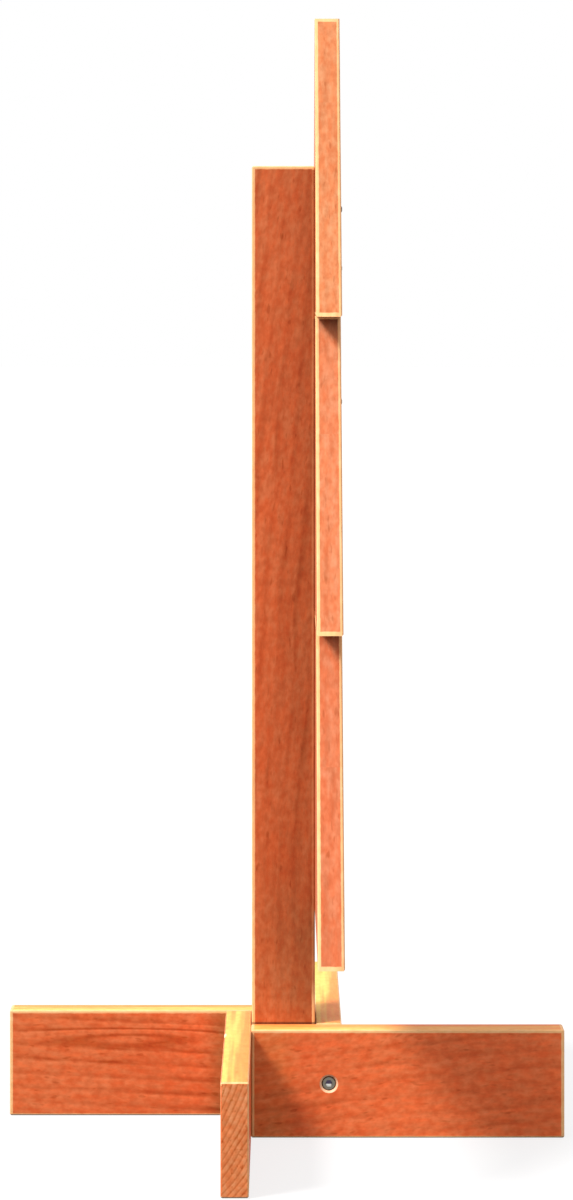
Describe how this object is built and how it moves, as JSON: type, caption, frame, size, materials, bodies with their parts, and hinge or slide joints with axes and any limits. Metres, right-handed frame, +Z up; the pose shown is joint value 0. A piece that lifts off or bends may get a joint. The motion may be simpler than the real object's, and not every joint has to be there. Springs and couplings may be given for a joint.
{
  "type": "free-standing wooden fir tree",
  "caption": "Flat stained-wood fir tree in stepped tiers, screwed to a square post that lifts out of the socket of a cross foot made of boards on edge.",
  "frame": {"origin": "On the ground under the axis of the square post, which is the middle of the foot and of the bounding box's base.", "axes": "+Z is up along the post. +X is the way the tree's front faces: the tiers lie on the post's +X face. +Y is to the right for someone who looks along +X from behind the post, with the tiers spread along Y."},
  "size_m": [0.531, 0.608, 1.061],
  "materials": {
    "foot_wood": "orange-red transparent stain over softwood, eased edges worn pale",
    "post_wood": "orange-red transparent stain over softwood, eased edges worn pale",
    "tier_wood": "orange-red transparent stain over softwood, eased edges worn pale",
    "bolt_steel": "zinc-plated steel, slightly dull",
    "screw_steel": "dark zinc-plated steel"
  },
  "bodies": {
    "foot": {"arm_front": "foot_wood", "arm_right": "foot_wood", "arm_back": "foot_wood", "arm_left": "foot_wood", "arm_bolts": "bolt_steel", "cross_dowel_nuts": "bolt_steel"},
    "tree": {"post": "post_wood", "top_tier_stave_1": "tier_wood", "top_tier_stave_2": "tier_wood", "top_tier_stave_3": "tier_wood", "middle_tier_stave_1": "tier_wood", "middle_tier_stave_2": "tier_wood", "middle_tier_stave_3": "tier_wood", "middle_tier_stave_4": "tier_wood", "middle_tier_stave_5": "tier_wood", "bottom_tier_stave_1": "tier_wood", "bottom_tier_stave_2": "tier_wood", "bottom_tier_stave_3": "tier_wood", "bottom_tier_stave_4": "tier_wood", "bottom_tier_stave_5": "tier_wood", "bottom_tier_stave_6": "tier_wood", "bottom_tier_stave_7": "tier_wood", "tier_screws": "screw_steel"}
  },
  "joints": [
    {"name": "tree_lift", "type": "slide", "parent": "foot", "child": "tree", "axis": [0, 0, 1], "range_m": [0, 0.12]}
  ]
}
